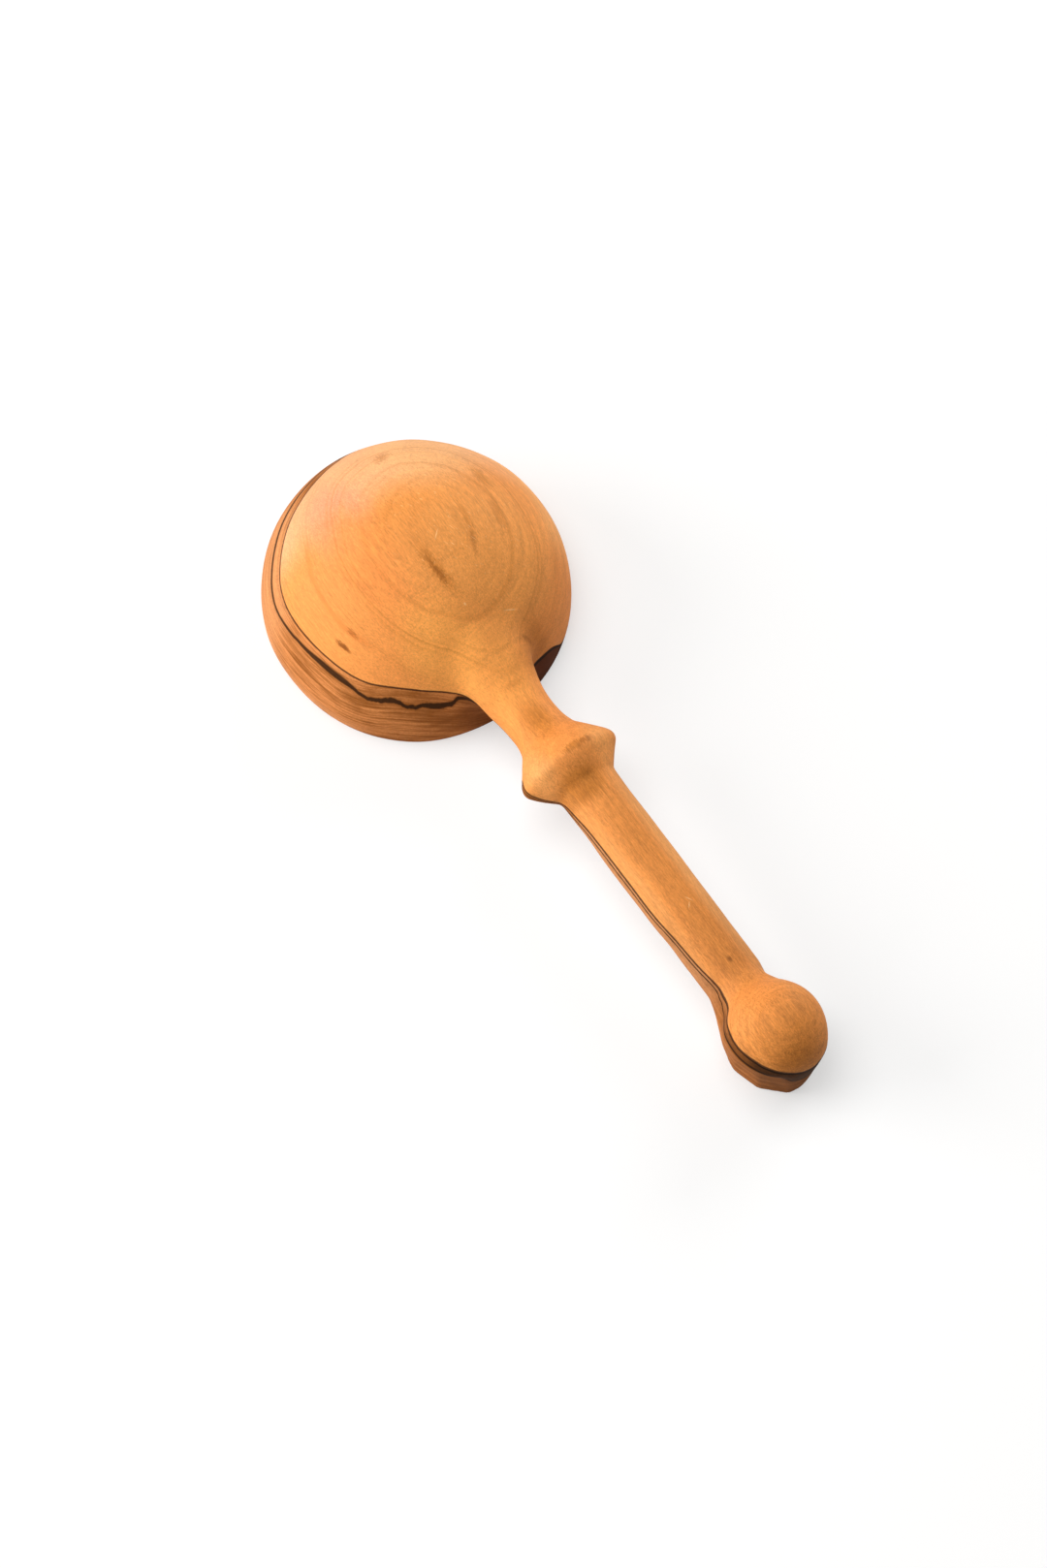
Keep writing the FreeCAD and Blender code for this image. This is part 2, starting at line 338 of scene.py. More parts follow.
def carve(mesh):
    """The marks of the hand and the knife on the smooth copy."""
    wood = Carving(mesh)
    x, y, z = wood.points.T.copy()
    inside = np.sum(wood.normals() * wood.points, axis=1) < 0
    inside &= x < 32
    outside = 1.0 - inside
    free = 1.0 - wood.rim
    wood.relax(3, free)
    wood.fill(160, outside * free * between(x, 8, 36, 6) * step_up(z, 2, 6))
    wood.fill(10, outside * free * between(x, 40, 58, 3))
    wood.fill(60, outside * free * step_up(x, 98, 102) * step_up(z, 1, 4))
    for lean, depth in SHAFT_FLATS:
        wood.flat_along(lean, depth, *SHAFT_ENDS)
    for lean, depth in NECK_FLATS:
        wood.flat_along(lean, depth, *NECK_ENDS)
    wood.grow(WORN_OFF * step_up(x, 32, 40) * outside)
    crest_bead(wood)
    for place, size, height in FULLER:
        wood.swell(place, size, height)
    wood.points[:, 1] -= KNOB_SHIFT * step_up(x, KNOB_X - 9, KNOB_X - 5) * step_up(z, 9, 14)
    for turn, extent in FOOT_FLATS:
        wood.flat_round_foot(turn, extent)
    uneven_bowl(wood)
    wood.relax(2, free)
    wood.done()


# ---------------------------------------------------------------- finish


class Field:
    """A shader value that takes plain arithmetic, so that a pattern reads as a formula."""

    def __init__(self, tree, socket):
        self.tree = tree
        self.socket = socket

    def math(self, kind, *others):
        """This value and the others put through one kind of sum or function."""
        node = self.tree.nodes.new("ShaderNodeMath")
        node.operation = kind
        for place, value in enumerate((self,) + others):
            plug(self.tree, node.inputs[place], value)
        return Field(self.tree, node.outputs[0])

    def __add__(self, other):
        return self.math("ADD", other)

    def __sub__(self, other):
        return self.math("SUBTRACT", other)

    def __rsub__(self, other):
        return self * -1.0 + other

    def __mul__(self, other):
        return self.math("MULTIPLY", other)

    def __truediv__(self, other):
        return self.math("DIVIDE", other)

    __radd__ = __add__

    def ramp(self, low, high, start=0.0, end=1.0):
        """start below low, end above high, and smooth between."""
        node = self.tree.nodes.new("ShaderNodeMapRange")
        node.interpolation_type = "SMOOTHSTEP"
        names = ("Value", "From Min", "From Max", "To Min", "To Max")
        for name, value in zip(names, (self, low, high, start, end)):
            plug(self.tree, node.inputs[name], value)
        return Field(self.tree, node.outputs[0])

    def near(self, middle, half, soft):
        """1 within half of middle, falling to 0 over soft."""
        gap = (self - middle).math("ABSOLUTE")
        return gap.ramp(half, half + soft, 1.0, 0.0)

    def drawn(self, low, high, points):
        """A smooth curve through points, whose places run from low to high."""
        node = self.tree.nodes.new("ShaderNodeFloatCurve")
        line = node.mapping.curves[0]
        heights = [height for _, height in points]
        bottom, top = min(heights), max(heights)
        for index, (place, height) in enumerate(points):
            at = ((place - low) / (high - low), (height - bottom) / (top - bottom))
            if index < 2:
                line.points[index].location = at
            else:
                line.points.new(*at)
        node.mapping.update()
        plug(self.tree, node.inputs["Value"], (self - low) / (high - low))
        return Field(self.tree, node.outputs[0]) * (top - bottom) + bottom


def mixed(a, b, share):
    """a where share is 0 and b where it is 1."""
    return a + (b - a) * share


def plug(tree, socket, value):
    """Gives a socket a number, or the value of a Field."""
    if isinstance(value, Field):
        tree.links.new(value.socket, socket)
    else:
        socket.default_value = value


def packed(x, y, z):
    """Three fields or numbers as one vector."""
    tree = next(v.tree for v in (x, y, z) if isinstance(v, Field))
    node = tree.nodes.new("ShaderNodeCombineXYZ")
    for socket, value in zip(node.inputs, (x, y, z)):
        plug(tree, socket, value)
    return Field(tree, node.outputs[0])


def noise(where, scale, detail=2.0, rough=0.5):
    """Smooth noise about 0, mostly within 1 of it."""
    node = where.tree.nodes.new("ShaderNodeTexNoise")
    plug(where.tree, node.inputs["Vector"], where)
    node.inputs["Scale"].default_value = scale
    node.inputs["Detail"].default_value = detail
    node.inputs["Roughness"].default_value = rough
    return (Field(where.tree, node.outputs[0]) - 0.5) * 4.0


def blend(under, over, share):
    """Colour over laid on colour under where share is 1."""
    tree = share.tree
    node = tree.nodes.new("ShaderNodeMix")
    node.data_type = "RGBA"
    plug(tree, node.inputs[0], share)
    for socket, value in ((node.inputs[6], under), (node.inputs[7], over)):
        plug(tree, socket, value if isinstance(value, Field) else (*value, 1.0))
    return Field(tree, node.outputs[2])


def tinted(colour, level):
    """A colour made lighter or darker by level, about 1."""
    tree = level.tree
    node = tree.nodes.new("ShaderNodeVectorMath")
    node.operation = "SCALE"
    plug(tree, node.inputs[0], colour)
    plug(tree, node.inputs["Scale"], level)
    return Field(tree, node.outputs[0])


# How deep the fibres stand in the skin's shading, in metres.
FIBRE_DEPTH = 0.012 * MM

# The wood's colours.
HONEY = (0.760, 0.271, 0.060)
LIGHT = (0.920, 0.370, 0.080)
CREAM = (0.810, 0.360, 0.108)
PALE = (0.770, 0.362, 0.162)
FAIR = (0.820, 0.412, 0.165)
ROSY = (0.780, 0.278, 0.145)
ORANGE = (0.810, 0.256, 0.054)
OCHRE = (0.765, 0.300, 0.068)
TAWNY = (0.560, 0.192, 0.030)
AMBER = (0.430, 0.138, 0.012)
STAIN = (0.270, 0.074, 0.004)
UMBER = (0.225, 0.068, 0.010)
TAN = (0.600, 0.222, 0.066)
RUSSET = (0.355, 0.118, 0.028)
WALNUT = (0.058, 0.021, 0.007)
MAHOGANY = (0.085, 0.019, 0.005)
EBONY = (0.011, 0.005, 0.002)
BRIGHT = (0.950, 0.600, 0.260)
FLAME = (0.640, 0.180, 0.030)

# Where the bowl's figure goes over into the handle's, and the handle's into the knob's, in mm.
BOWL_TO_HANDLE = (27.0, 33.0)
HANDLE_TO_KNOB = (106.0, 111.0)
# Where the curves below start and end: a whole turn in degrees, and the handle in mm.
ROUND = (-180, 180)
ALONG = (24, 124)
# Heights in mm of the upper dark line, by degrees round the bowl, mm along the handle and degrees
# round the knob. Round both, 0 faces along +X and 90 along +Y.
LINE_ROUND_BOWL = (
    (-180, 17.9), (-158, 19.0), (-140, 18.4), (-125, 17.4), (-112, 16.6), (-88, 16.5), (-70, 16.5),
    (-56, 16.2), (-42, 16.6), (-30, 16.0), (-20, 14.7), (-13, 13.5), (2, 11.4), (15, 9.5), (25, 7.4),
    (37, 0.3), (60, -4.0), (120, 5.0), (180, 17.9),
)
LINE_ALONG_HANDLE = (
    (24, 15.0), (35, 12.0), (44, 12.0), (47.5, 12.9), (49.3, 14.1), (52, 14.0), (54, 14.2),
    (56, 14.8), (58, 15.3), (67, 15.6), (74, 15.35), (84, 14.75), (94, 14.7), (101, 15.1),
    (105, 15.5), (109, 16.3), (124, 16.3),
)
LINE_ROUND_KNOB = (
    (-180, 13.6), (-150, 14.8), (-130, 16.4), (-114, 17.2), (-94, 17.6), (-74, 17.8), (-54, 17.3),
    (-40, 16.7), (-28, 16.1), (-15, 15.2), (-5, 14.4), (7, 13.7), (30, 13.2), (90, 11.0),
    (140, 12.4), (180, 13.6),
)
# How the upper dark line leans across the handle: its rise for each mm of y, counted from y = -6.
HANDLE_LEAN = -0.34
HANDLE_SIDE = 6.0
# Depth in mm from the upper dark line down to the thick one.
DEPTH_ROUND_BOWL = (
    (-180, 1.9), (-162, 2.9), (-140, 3.0), (-126, 3.1), (-114, 3.3), (-100, 2.8), (-84, 2.1),
    (-70, 1.9), (-60, 2.3), (-52, 3.2), (-46, 2.8), (-40, 3.9), (-36, 4.3), (-31, 3.0), (-27, 3.3),
    (-23, 3.2), (-19, 1.5), (-14, 0.5), (40, 0.4), (180, 1.9),
)
DEPTH_ALONG_HANDLE = ((24, 0.5), (58, 0.55), (98, 0.55), (104, 0.8), (109, 1.9), (124, 1.9))
DEPTH_ROUND_KNOB = (
    (-180, 1.0), (-125, 1.9), (-96, 1.5), (-79, 1.6), (-53, 1.7), (-39, 2.1), (-26, 3.4), (0, 5.0),
    (180, 1.0),
)
# Half the thick line's width in mm, round the bowl.
WIDTH_ROUND_BOWL = (
    (-180, 0.22), (-130, 0.26), (-104, 0.2), (-84, 0.28), (-68, 0.46), (-57, 0.26), (-46, 0.42),
    (-39, 0.3), (-30, 0.46), (-23, 0.5), (-16, 0.3), (180, 0.2),
)
# A curved streak low on the bowl, seen from above.
LONG_STREAK = ((-15, -13.6), (-9, -17.8), (-4, -19.6), (1, -20.3), (6, -20.0), (10, -18.8), (15, -16.0))

# Broad patches of colour, among them painted light and painted shade, seen from above: middle, half size,
# softness, angle, colour and strength.
PATCHES = (
    ((-16.0, 13.0), (11.0, 8.5), 0.6, 25.0, FAIR, 0.75),
    ((-12.5, -8.8), (8.5, 5.5), 0.6, -15.0, ROSY, 0.80),
    ((-1.0, -9.5), (11.0, 5.5), 0.6, 0.0, ORANGE, 0.80),
    ((10.0, 9.0), (16.0, 15.0), 0.6, 0.0, OCHRE, 0.85),
    # The next patch is painted light, lightening the bowl where it rises into the neck on its -y side.
    ((21.5, -7.0), (9.0, 7.0), 0.6, 15.0, LIGHT, 1.00),
    ((30.5, -0.5), (8.0, 5.0), 0.7, 0.0, LIGHT, 0.65),
    ((45.5, 0.0), (3.0, 4.5), 0.8, 0.0, ORANGE, 0.40),
    ((40.3, -0.4), (4.6, 3.0), 0.6, 0.0, TAWNY, 0.85),
    ((-1.0, -1.5), (7.5, 6.0), 0.7, 0.0, TAWNY, 0.30),
    # The next patch is partly painted shade, darkening the collar's back slope behind its crest, and partly
    # the wood's deeper colour.
    ((55.9, -2.0), (3.0, 5.2), 0.5, 0.0, AMBER, 0.68),
    ((84.0, 0.8), (26.0, 3.0), 0.5, 0.0, TAWNY, 0.42),
    ((78.0, 6.0), (27.0, 2.4), 0.6, 0.0, CREAM, 0.80),
    ((80.0, -4.6), (22.0, 1.5), 0.6, 0.0, CREAM, 0.45),
    ((49.0, -6.8), (5.0, 2.6), 0.8, 0.0, CREAM, 0.80),
    ((50.5, 7.0), (4.5, 2.8), 0.8, 0.0, CREAM, 0.50),
    ((117.0, 0.5), (8.5, 9.0), 0.6, 0.0, TAWNY, 0.45),
    ((123.0, -3.0), (3.2, 6.5), 0.7, 0.0, AMBER, 0.60),
    ((108.5, -1.0), (4.0, 5.0), 0.8, 0.0, ORANGE, 0.50),
)
# Dark marks, one of them partly painted shade, and light scratches by place: middle, half size, softness,
# angle, colour and strength.
FLECKS = (
    ((8.8, -0.7), (4.6, 1.2), 0.9, 6.0, AMBER, 0.60),
    ((9.6, -0.9), (3.0, 0.6), 0.8, 6.0, STAIN, 0.60),
    ((7.6, 8.5), (2.4, 0.6), 0.9, -22.0, STAIN, 0.48),
    ((3.0, 10.0), (3.6, 0.7), 0.8, -10.0, AMBER, 0.45),
    ((-3.6, 18.4), (2.6, 1.0), 0.9, 0.0, AMBER, 0.50),
    ((4.6, 16.2), (3.4, 0.9), 0.9, -16.0, AMBER, 0.40),
    ((-18.2, 5.4), (1.2, 1.7), 0.9, 20.0, STAIN, 0.45),
    ((7.9, -19.5), (1.3, 0.36), 0.5, 8.0, STAIN, 0.75),
    ((8.0, -21.8), (1.6, 0.36), 0.5, 14.0, STAIN, 0.95),
    ((25.6, 8.0), (0.5, 0.9), 0.6, -35.0, STAIN, 0.50),
    ((40.3, 0.2), (2.0, 2.2), 0.9, 10.0, AMBER, 0.35),
    ((49.7, 4.0), (0.8, 1.2), 0.5, 0.0, STAIN, 0.42),
    ((49.6, 1.6), (0.9, 2.6), 0.5, 0.0, AMBER, 0.60),
    # The next fleck is partly painted shade on the collar's back slope, and partly the wood's deeper
    # colour.
    ((57.8, -2.0), (2.0, 3.8), 0.9, 0.0, AMBER, 0.50),
    ((98.6, 0.7), (0.6, 0.42), 0.9, 0.0, UMBER, 0.75),
)
SCRATCHES = (
    ((3.6, 3.0), (0.10, 1.0), 0.7, 42.0, BRIGHT, 0.60),
    ((16.6, 0.2), (0.26, 0.16), 0.7, 10.0, BRIGHT, 0.75),
    ((20.8, 7.6), (0.10, 1.2), 0.7, -14.0, BRIGHT, 0.60),
    ((85.2, 1.5), (0.7, 0.10), 0.7, 30.0, BRIGHT, 0.55),
    ((86.2, 0.8), (0.6, 0.10), 0.7, -40.0, BRIGHT, 0.55),
)


def turn_round_knob(x, y):
    """The direction of a point from the knob's middle, in degrees."""
    return y.math("ARCTAN2", x - KNOB_X) * DEGREES


def zone_depths(x, y, z, turn, wave):
    """Depth below the upper dark line, how far down the thick line lies, and half its width."""
    on_handle = x.ramp(*BOWL_TO_HANDLE)
    on_knob = x.ramp(106.0, 110.5)
    knob_turn = turn_round_knob(x, y)
    along = x.drawn(*ALONG, LINE_ALONG_HANDLE) + (y + HANDLE_SIDE) * HANDLE_LEAN
    line = mixed(turn.drawn(*ROUND, LINE_ROUND_BOWL), along, on_handle)
    line = mixed(line, knob_turn.drawn(*ROUND, LINE_ROUND_KNOB), on_knob)
    thick = mixed(turn.drawn(*ROUND, DEPTH_ROUND_BOWL), x.drawn(*ALONG, DEPTH_ALONG_HANDLE), on_handle)
    thick = mixed(thick, knob_turn.drawn(*ROUND, DEPTH_ROUND_KNOB), on_knob)
    ragged = turn.near(-36.0, 14.0, 10.0) * 0.75 + 0.08
    thick = thick + noise(packed(turn * 0.10, z * 0.08, 3.3), 1.0, 4.0, 0.6) * ragged
    wide = mixed(turn.drawn(*ROUND, WIDTH_ROUND_BOWL), 0.05, on_handle) + on_knob * 0.12
    return line - z + wave, thick, wide


def reach(flat, at, half, angle=0.0):
    """How far a point is from a place seen from above: 1 on the edge of an oval of this half size."""
    tree = flat.tree
    node = tree.nodes.new("ShaderNodeMapping")
    node.vector_type = "TEXTURE"
    plug(tree, node.inputs["Vector"], flat)
    node.inputs["Location"].default_value = (*at, 0.0)
    node.inputs["Rotation"].default_value = (0.0, 0.0, math.radians(angle))
    node.inputs["Scale"].default_value = (*half, 1.0)
    size = tree.nodes.new("ShaderNodeVectorMath")
    size.operation = "LENGTH"
    tree.links.new(node.outputs[0], size.inputs[0])
    return Field(tree, size.outputs["Value"])


def spot(flat, at, half, soft):
    """1 inside an oval at a place seen from above, falling to 0 over soft of its size."""
    return reach(flat, at, half).ramp(1.0 - soft, 1.0 + soft, 1.0, 0.0)


def laid(colour, flat, places, uneven):
    """A colour with a list of patches laid on it, those of one tone together."""
    for tone in dict.fromkeys(place[4] for place in places):
        share = None
        for at, half, soft, angle, kind, strength in places:
            if kind == tone:
                far = reach(flat, at, half, angle) + uneven
                patch = far.ramp(1.0 - soft, 1.0 + soft * 0.8, strength, 0.0)
                share = share.math("MAXIMUM", patch) if share else patch
        colour = blend(colour, tone, share)
    return colour


def growth_layers(x, y, z, flat, wander, fibre):
    """How dark the edge of a growth layer is, with the layers curved over the bowl and the knob."""
    hill = (y - 4.0) * (y - 4.0) * -0.012
    layer = z + x * 0.10 + y * 0.14 + hill + x.ramp(104.0, 124.0) * 5.0 + wander * 0.45 + fibre * 0.05
    uneven = layer + noise(packed(layer, 0.2, 0.6), 0.5, 2.0) * 0.55
    step = (uneven / 1.15).math("FRACT")
    edge = step.ramp(0.30, 0.88) * (1.0 - step.ramp(0.88, 1.0))
    fades = noise(packed(x * 0.7 + 9.0, y, layer * 3.0), 0.10, 1.0)
    strong = (noise(packed(layer, 0.37, 0.71), 0.55, 1.0) + fades * 0.8).ramp(-0.5, 1.3)
    steep = reach(flat, (6.0, 5.0), (1.0, 1.0)).ramp(6.0, 19.0, 0.15, 1.0)
    steep = steep * (x.ramp(21.0, 30.0, 1.0, 0.12) + x.ramp(106.0, 112.0) * 0.3)
    bands = noise(packed(layer, wander * 0.1, 0.37), 0.85, 4.0, 0.65)
    bands = bands + noise(packed(layer, 0.3, 0.9), 2.1, 2.0) * x.ramp(*HANDLE_TO_KNOB) * 0.9
    return edge * strong * steep, bands


def upper_wood(x, y, z, turn, flat, broad, fibre, edge, bands):
    """The honey-coloured wood above the dark lines, with painted shade beside the neck's root and a partly
    painted highlight towards the left.
    """
    # Paler towards the left, the side the lamps light most: partly the wood's own paler colour, partly a
    # painted highlight.
    left = (x * -1.0 + y * 0.15 + broad * 3.0).ramp(3.0, 15.0)
    colour = blend(HONEY, PALE, left)
    colour = laid(colour, flat, PATCHES, fibre * 0.12 + bands * 0.12 + broad * 0.10)
    side = x.ramp(29.0, 33.0, 1.0, 0.0) * z.ramp(14.0, 20.0, 1.0, 0.0)
    colour = blend(colour, CREAM, side * turn.near(98.0, 24.0, 22.0) * 0.80)
    colour = blend(colour, FLAME, side * turn.near(38.0, 14.0, 20.0) * 0.35)
    # Painted shade: darker amber on the bowl beside the neck's root, on its +y side, where the neck shades
    # it.
    colour = blend(colour, AMBER, side * turn.near(16.0, 5.0, 10.0) * 0.70)
    flames = noise(packed(x * 0.05 + 4.0, y * 0.8, 0.4), 0.9, 3.0).ramp(0.1, 1.2) * x.ramp(56.0, 64.0)
    right = y.ramp(2.0, 12.0) * x.ramp(*BOWL_TO_HANDLE, 1.0, 0.0) + x.ramp(*HANDLE_TO_KNOB)
    dark = edge * 0.26 + bands.ramp(0.1, 1.5) * (0.30 + right * 0.25)
    dark = dark + flames * (1.0 - x.ramp(100.0, 106.0)) * 0.3
    colour = blend(colour, LIGHT, (bands * -1.0).ramp(0.1, 1.5) * (0.35 + right * 0.2))
    return blend(colour, AMBER, dark.math("MINIMUM", 1.0))


def lower_wood(x, y, z, turn, below, thick, wander, fibre, fine):
    """The browner wood below the dark lines, with its fine layers, partly painted shade towards the neck
    and the knob, and painted bounce light near the rim.
    """
    hump = turn.near(-36.0, 2.0, 30.0) * 1.6
    layer = below + hump + wander * 0.2 + fibre * 0.09
    along = packed(layer, x * 0.03 + 0.3, y * 0.03 + 0.4)
    bands = noise(along, 1.1, 5.0, 0.8)
    cloud = noise(packed(turn * 0.05, z * 0.35, x * 0.02), 1.0, 2.0)
    thin = noise(along, 0.9, 1.0, 0.5).near(0.1, 0.02, 0.20)
    on_bowl = 1.0 - x.ramp(*BOWL_TO_HANDLE)
    lively = on_bowl * 0.5 + 0.5
    # Partly painted shade and partly the wood's own darker colour: the lower wood darkens on the bowl
    # towards the neck, which shades it, and along the handle, most towards the knob's underside.
    shade_and_darker_wood = turn.ramp(-90.0, -14.0) * on_bowl * 0.8 + (1.0 - on_bowl) * (0.6 + x.ramp(104.0, 120.0) * 0.6)
    dim = (turn.ramp(-160.0, -122.0, 1.0, 0.0) * on_bowl * 0.35 + shade_and_darker_wood).math("MINIMUM", 1.0)
    brown = dim + bands * lively * 1.4 + cloud * 0.8 + fibre * 0.3
    colour = blend(TAN, RUSSET, brown.ramp(-0.3, 1.3))
    dark = bands * lively * 2.2 + cloud * 1.0 + fine * 0.5 + fibre * 0.5 + shade_and_darker_wood * 0.55
    colour = blend(colour, UMBER, dark.ramp(0.3, 2.2) * 0.75)
    colour = blend(colour, UMBER, thin * (0.5 + fibre * 0.25))
    # Darker wood just below the thick line, made darker still by the painted shade.
    stain_and_shade = (below - thick).near(0.3, 0.2, 1.5) * (0.35 + shade_and_darker_wood * 0.35)
    colour = blend(colour, UMBER, stain_and_shade)
    # Painted shade on the bowl's side under the neck.
    shade_under_neck = turn.near(-4.0, 6.0, 12.0) * on_bowl * 0.6
    gap = (thick - below).ramp(-0.3, 0.3) * x.ramp(103.0, 108.0)
    gap = gap * turn_round_knob(x, y).ramp(-85.0, -45.0, 0.45, 1.0)
    colour = blend(colour, WALNUT, (gap + x.ramp(113.0, 124.0) * 0.45).math("MINIMUM", 0.95))
    # Painted bounce light: the lower wood turns paler near the rim on the bowl's -y side, where the white
    # floor lights it.
    rubbed_and_bounce_light = z.ramp(0.3, 4.5, 0.4, 0.0) * turn.near(-95.0, 28.0, 20.0) * on_bowl
    worn = x.ramp(56.0, 64.0) * x.ramp(96.0, 108.0, 0.50, 0.0)
    worn = worn + turn.near(-126.0, 18.0, 16.0) * on_bowl * 0.30
    colour = blend(colour, PALE, rubbed_and_bounce_light + worn)
    # Darker red-brown towards +y, with the painted shade under the neck.
    deep = y.ramp(1.0, 7.0) + shade_under_neck
    return blend(colour, MAHOGANY, deep.math("MINIMUM", 0.95))


def scratches(x, y, flat):
    """Short light scratches, most of them on the bowl's worn patch."""
    total = None
    for lean, place in ((25.0, 1.7), (-52.0, 6.1)):
        c, s = math.cos(math.radians(lean)), math.sin(math.radians(lean))
        along, across = x * c + y * s, y * c - x * s
        line = noise(packed(along * 0.8 + place, across * 5.0, place), 1.0, 1.0).ramp(0.80, 1.15)
        total = line if total is None else total.math("MAXIMUM", line)
    return total * (spot(flat, (2.0, 8.0), (14.0, 11.0), 0.8) * 0.50 + 0.08)


def marks(x, y, flat, colour, fibre, fine, bands):
    """The knot, the streaks, the dark flecks and the light scratches, which lie at particular places."""
    colour = laid(colour, flat, FLECKS, fibre * 0.25 + fine * 0.35)
    streak = y - x.drawn(-15, 15, LONG_STREAK) + bands * 0.12
    long = streak.near(0.0, 0.14, 0.6) * x.near(0.0, 9.0, 5.0) * (fine * 0.3 + 0.45)
    colour = blend(colour, FLAME, long.math("MAXIMUM", 0.0))
    colour = laid(colour, flat, SCRATCHES, fine * 0.4)
    return blend(colour, BRIGHT, scratches(x, y, flat))


def turned(x, y, flat, fibre):
    """Fine curved layers round the bowl's middle, on its far half, and round the knob's middle."""
    on_knob = x.ramp(104.0, 108.0)
    far = mixed(reach(flat, (3.0, 1.0), (1.0, 1.12)), reach(flat, (KNOB_X + 1.0, 1.5), (1.0, 1.3)), on_knob)
    rings = noise(packed(far * 1.2 + fibre * 0.12, x * 0.04, y * 0.04), 1.0, 4.0, 0.75)
    far_half = (y + x * 0.5).ramp(0.0, 12.0) * far.ramp(7.0, 14.0) * x.ramp(*BOWL_TO_HANDLE, 1.0, 0.0)
    return rings * (far_half.math("MAXIMUM", on_knob * far.ramp(0.5, 3.0) * 1.35) * 0.11 + 0.02)


def skin_level(x, y, flat, broad, fibre, fine, grain, strands, cross):
    """How light or dark the wood is from point to point, about 1."""
    rubbed_and_bounce_light = spot(flat, (12.0, -4.5), (11.0, 7.0), 0.7)
    streaky = spot(flat, (2.0, -8.0), (14.0, 7.0), 0.7) * 0.06 + 0.08
    lively = 1.15 + x.ramp(*HANDLE_TO_KNOB) * 0.15
    level = 1.0 + (fibre * streaky + fine * 0.21 + grain * 0.08) * lively + broad * 0.04
    level = level + turned(x, y, flat, fibre) - x.ramp(82.0, 95.0) * x.ramp(102.0, 107.0, 0.10, 0.0)
    level = level + cross * rubbed_and_bounce_light * 0.09 + strands * (0.04 + x.ramp(30.0, 40.0) * 0.06)
    return level - x.ramp(34.0, 48.0) * 0.10


def place_fields(tree):
    """A point's place in mm from the bowl's centre."""
    place = tree.nodes.new("ShaderNodeTexCoord")
    split = tree.nodes.new("ShaderNodeSeparateXYZ")
    tree.links.new(place.outputs["Object"], split.inputs[0])
    metres = [Field(tree, split.outputs[k]) for k in range(3)]
    return [(m - BOWL[k]) * (1 / MM) for k, m in enumerate(metres)]


def end_grain(tree):
    """1 where the skin cuts across the fibres, which run along the scoop."""
    faces = tree.nodes.new("ShaderNodeSeparateXYZ")
    surface = tree.nodes.new("ShaderNodeNewGeometry")
    tree.links.new(surface.outputs["Normal"], faces.inputs[0])
    return Field(tree, faces.outputs[0]).math("ABSOLUTE").ramp(0.25, 0.95)


def dark_lines(colour, x, below, thick, wide, ragged, fine):
    """The thin dark line where the two woods meet, and the thick one below it."""
    thin = (below + ragged).near(0.08, x.ramp(98.0, 104.0, 0.11, 0.16) + x.ramp(113.0, 121.0) * 0.14, 0.16)
    gap = (below - thick + ragged - 0.15).math("ABSOLUTE") - wide
    band = gap.ramp(0.0, wide * 0.8 + 0.12, 1.0, 0.0)
    colour = blend(colour, EBONY, thin * (0.86 + fine * 0.08))
    return blend(colour, EBONY, band * (0.88 + fine * 0.08))


def oiled(tree, shader, below, edge, fibre, fine, grain):
    """A satin skin with fine fibres in it, duller below the upper dark line."""
    tree.links.new((0.64 + fine * 0.04 - edge * 0.03).socket, shader.inputs["Roughness"])
    plug(tree, shader.inputs["Specular IOR Level"], below.ramp(-0.3, 0.3, 0.2, 0.04))
    bump = tree.nodes.new("ShaderNodeBump")
    bump.inputs["Distance"].default_value = FIBRE_DEPTH
    plug(tree, bump.inputs["Height"], fibre * 0.5 + fine * 0.35 + grain * 0.3)
    tree.links.new(bump.outputs[0], shader.inputs["Normal"])


def wood_material():
    """Honey-coloured wood over a browner layer, with two dark lines between them."""
    made = bpy.data.materials.new("carved_wood")
    made.use_nodes = True
    tree = made.node_tree
    shader = tree.nodes["Principled BSDF"]
    x, y, z = place_fields(tree)
    turn = y.math("ARCTAN2", x) * DEGREES
    where = packed(x, y, z)
    flat = packed(x, y, 0.0)
    broad = noise(where, 0.045, 2.0)
    wander = noise(packed(x * 0.6, y, z), 0.11, 3.0)
    fibre = noise(packed(x * 0.09, y, z), 1.5, 4.0, 0.65)
    fine = noise(packed(x * 0.14, y, z), 4.5, 3.0, 0.7)
    grain = noise(where, 3.0, 3.0, 0.75)
    cross = noise(packed(x, y * 0.12, z * 0.12), 4.0, 2.0, 0.6)
    strands = noise(packed(x * 0.025, y, z), 1.1, 3.0, 0.6)
    edge, bands = growth_layers(x, y, z, flat, wander, fibre)
    below, thick, wide = zone_depths(x, y, z, turn, wander * 0.05)
    upper = upper_wood(x, y, z, turn, flat, broad, fibre, edge, bands)
    upper = marks(x, y, flat, upper, fibre, fine, bands)
    lower = lower_wood(x, y, z, turn, below, thick, wander, fibre, fine)
    ragged = fine * 0.05 + grain * 0.03
    colour = blend(upper, lower, (below + ragged).ramp(-0.05, 0.15))
    level = skin_level(x, y, flat, broad, fibre, fine, grain, strands, cross)
    colour = tinted(colour, level - end_grain(tree) * 0.08)
    colour = dark_lines(colour, x, below, thick, wide, ragged, fine)
    tree.links.new(colour.socket, shader.inputs["Base Color"])
    oiled(tree, shader, below, edge, fibre, fine, grain)
    return made


# ---------------------------------------------------------------- setting


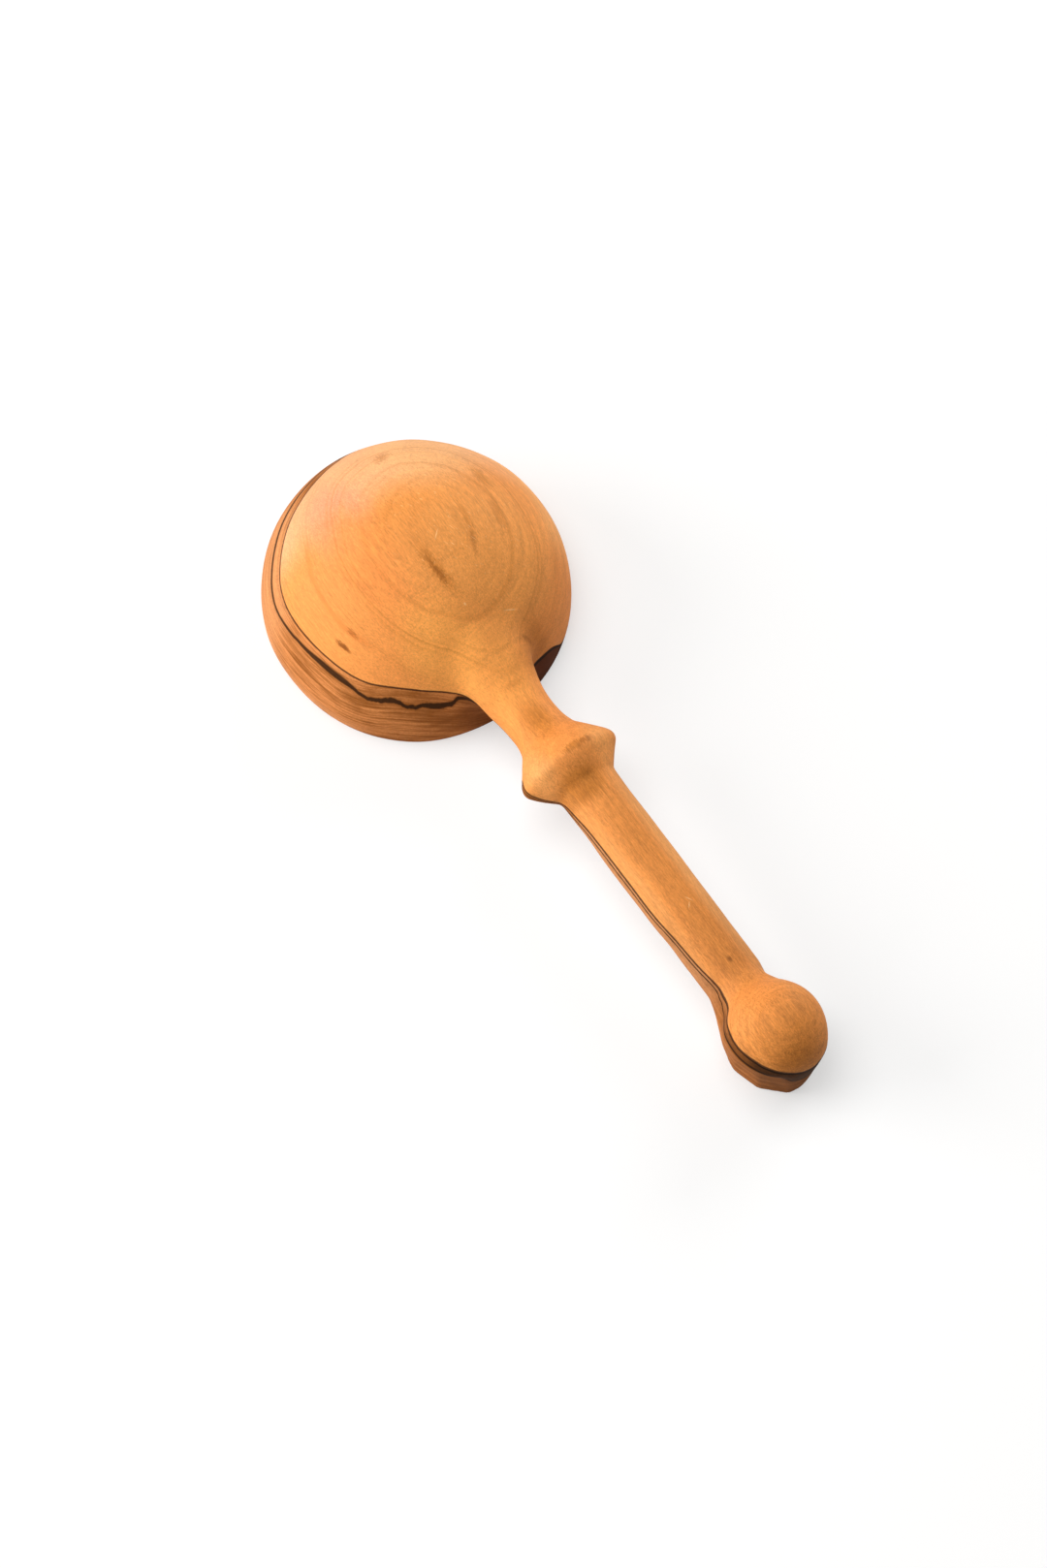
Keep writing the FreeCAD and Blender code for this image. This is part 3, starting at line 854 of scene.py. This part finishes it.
def camera():
    """The camera, steeply above the scoop. Gives the picture's right and its far side on the floor."""
    data = bpy.data.cameras.new("camera")
    data.lens = LENS
    data.sensor_width = FILM
    data.clip_end = FAR_CLIP
    made = linked("camera", data)
    right = Vector((math.cos(CAMERA_TURN), math.sin(CAMERA_TURN), 0.0))
    away = Vector((-math.sin(CAMERA_TURN), math.cos(CAMERA_TURN), 0.0))
    down = Vector((0.0, 0.0, -1.0))
    ahead = away * math.sin(CAMERA_TILT) + down * math.cos(CAMERA_TILT)
    up = away * math.cos(CAMERA_TILT) - down * math.sin(CAMERA_TILT)
    place = BOWL + right * AIM_RIGHT + up * AIM_UP - ahead * CAMERA_REACH
    turn = Matrix((right, up, -ahead)).transposed()
    made.matrix_world = Matrix.Translation(place) @ turn.to_4x4()
    bpy.context.scene.camera = made
    return right, away


def white_paint():
    """A pale floor that the camera sees as white, with the scoop's shadow on it."""
    paint = bpy.data.materials.new("floor_white")
    paint.use_nodes = True
    nodes, links = paint.node_tree.nodes, paint.node_tree.links
    nodes.clear()
    out = nodes.new("ShaderNodeOutputMaterial")
    dull = nodes.new("ShaderNodeBsdfDiffuse")
    dull.inputs["Color"].default_value = FLOOR_COLOUR
    dim = nodes.new("ShaderNodeBsdfDiffuse")
    dim.inputs["Color"].default_value = FLOOR_SEEN
    glow = nodes.new("ShaderNodeEmission")
    glow.inputs["Strength"].default_value = FLOOR_GLOW
    both = nodes.new("ShaderNodeAddShader")
    links.new(dim.outputs[0], both.inputs[0])
    links.new(glow.outputs[0], both.inputs[1])
    seen = nodes.new("ShaderNodeLightPath")
    pick = nodes.new("ShaderNodeMixShader")
    links.new(seen.outputs["Is Camera Ray"], pick.inputs[0])
    links.new(dull.outputs[0], pick.inputs[1])
    links.new(both.outputs[0], pick.inputs[2])
    links.new(pick.outputs[0], out.inputs["Surface"])
    return paint


def white_floor():
    """A large flat floor just under the scoop."""
    mesh = bpy.data.meshes.new("floor")
    corners = [(-1, -1), (1, -1), (1, 1), (-1, 1)]
    mesh.from_pydata([(FLOOR_HALF * x, FLOOR_HALF * y, 0) for x, y in corners], [], [(0, 1, 2, 3)])
    made = linked("floor", mesh)
    made.location.z = -FLOOR_DROP
    mesh.materials.append(white_paint())


def lamp(name, right, away, turn, rise, power):
    """A round soft lamp, turn degrees from the picture's right towards its far side and rise degrees up."""
    data = bpy.data.lights.new(name, "AREA")
    data.shape = "DISK"
    data.size = LAMP_SIZE
    data.energy = power
    made = linked(name, data)
    t, e = math.radians(turn), math.radians(rise)
    level = right * math.cos(t) + away * math.sin(t)
    toward = level * math.cos(e) + Vector((0, 0, math.sin(e)))
    made.location = toward * LAMP_REACH
    made.rotation_mode = "QUATERNION"
    made.rotation_quaternion = toward.to_track_quat("Z", "Y")


def room():
    """The light from all round, and white where the camera looks past the floor."""
    world = bpy.data.worlds.new("studio")
    bpy.context.scene.world = world
    world.use_nodes = True
    nodes, links = world.node_tree.nodes, world.node_tree.links
    seen = nodes.new("ShaderNodeLightPath")
    rays = nodes.new("ShaderNodeMath")
    rays.operation = "MAXIMUM"
    links.new(seen.outputs["Is Camera Ray"], rays.inputs[0])
    links.new(seen.outputs["Is Transmission Ray"], rays.inputs[1])
    level = nodes.new("ShaderNodeMix")
    level.data_type = "RGBA"
    links.new(rays.outputs[0], level.inputs[0])
    level.inputs[6].default_value = ROOM
    level.inputs[7].default_value = WHITE
    links.new(level.outputs[2], nodes["Background"].inputs["Color"])


def studio(right, away):
    """The lamps, the room's light and the plain view."""
    for name, turn, rise, power in LAMPS:
        lamp(name, right, away, turn, rise, power)
    room()
    bpy.context.scene.view_settings.view_transform = "Standard"


scoop = fine_copy(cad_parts["scoop"])
carve(scoop.data)
scoop.data.materials.clear()
scoop.data.materials.append(wood_material())
scoop.data.polygons.foreach_set("use_smooth", [True] * len(scoop.data.polygons))
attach(scoop, "root")
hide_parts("scoop")

IMAGE_RIGHT, IMAGE_AWAY = camera()
white_floor()
studio(IMAGE_RIGHT, IMAGE_AWAY)
